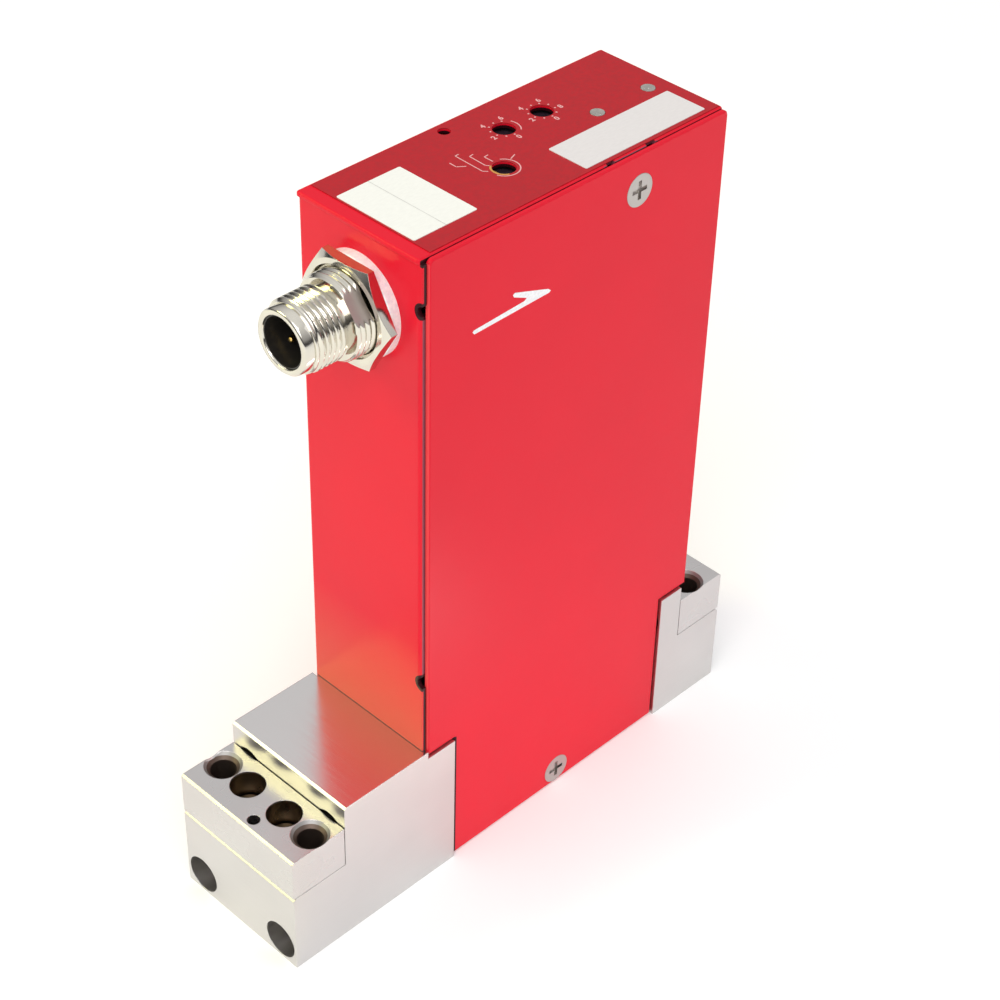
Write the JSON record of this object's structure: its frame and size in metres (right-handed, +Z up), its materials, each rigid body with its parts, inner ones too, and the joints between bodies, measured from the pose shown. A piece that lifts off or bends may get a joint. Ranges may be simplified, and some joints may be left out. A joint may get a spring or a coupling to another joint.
{
  "type": "mass flow controller",
  "caption": "Tall folded-sheet case on a stepped steel base block with gas passages, thermal sensor, piezo valve, circuit boards and a round five-pin connector.",
  "frame": {"origin": "centre of the base block's bottom face", "axes": "+X is the gas flow direction from inlet to outlet, -Y faces the removable side panel, +Z is up"},
  "size_m": [0.105, 0.028, 0.1257],
  "materials": {
    "machined_steel": "satin",
    "inner_steel": "satin",
    "screw_steel": "satin",
    "red_paint": "satin",
    "red_overlay": "matte",
    "white_label": "satin",
    "nickel_plate": "polished",
    "white_nylon": "matte",
    "black_plastic": "matte",
    "rotor_plastic": "matte",
    "plunger_plastic": "matte",
    "gold_plate": "polished",
    "circuit_board": "satin",
    "ceramic": "satin",
    "aluminium_can": "satin",
    "seal_rubber": "matte",
    "clear_lens": "gloss",
    "led_body": "matte"
  },
  "bodies": {
    "housing": {"actuator_cap": "inner_steel", "actuator_housing": "inner_steel", "actuator_screws": "screw_steel", "base_block": "machined_steel", "board_bracket": "aluminium_can", "board_header": "black_plastic", "bracket_screw": "screw_steel", "bypass_element": "inner_steel", "capacitors": "aluminium_can", "case_shell": "red_paint", "connector_board": "circuit_board", "connector_contacts": "gold_plate", "connector_gasket": "seal_rubber", "connector_header": "black_plastic", "connector_insert": "black_plastic", "connector_nut": "nickel_plate", "connector_shell": "nickel_plate", "connector_washer": "white_nylon", "id_sticker": "white_label", "inlet_plate": "machined_steel", "led_lenses": "clear_lens", "main_board": "circuit_board", "main_board_screws": "screw_steel", "outlet_plate": "machined_steel", "panel_screws": "screw_steel", "piezo_stack": "ceramic", "plate_screws": "screw_steel", "processor": "black_plastic", "push_pin": "inner_steel", "sensor_base": "inner_steel", "sensor_coils": "black_plastic", "sensor_cover": "inner_steel", "sensor_screws": "screw_steel", "sensor_tube": "inner_steel", "shell_screw": "screw_steel", "side_panel": "red_paint", "small_chips": "black_plastic", "standoffs": "inner_steel", "status_leds": "led_body", "switch_bodies": "black_plastic", "top_board": "circuit_board", "top_board_screws": "screw_steel", "top_overlay": "red_overlay", "valve_diaphragm": "inner_steel", "valve_seat": "inner_steel", "white_label": "white_label", "zero_switch_body": "black_plastic"},
    "rotor_1": {"switch_rotor_1": "rotor_plastic"},
    "rotor_2": {"switch_rotor_2": "rotor_plastic"},
    "rotor_3": {"switch_rotor_3": "rotor_plastic"},
    "zero_button": {"zero_plunger": "plunger_plastic"}
  },
  "joints": [
    {"name": "switch_1_turn", "type": "hinge", "parent": "housing", "child": "rotor_1", "pos_m": [0.0202, 0.00555, 0.122], "axis": [0, 0, 1], "continuous": true},
    {"name": "switch_2_turn", "type": "hinge", "parent": "housing", "child": "rotor_2", "pos_m": [0.0119, 0.00555, 0.122], "axis": [0, 0, 1], "continuous": true},
    {"name": "switch_3_turn", "type": "hinge", "parent": "housing", "child": "rotor_3", "pos_m": [0.0036, -0.00275, 0.122], "axis": [0, 0, 1], "continuous": true},
    {"name": "zero_press", "type": "slide", "parent": "housing", "child": "zero_button", "axis": [0, 0, -1], "range_m": [0, 0.00025], "stiffness_N_per_m": 2000, "springref_m": -0.0002}
  ]
}
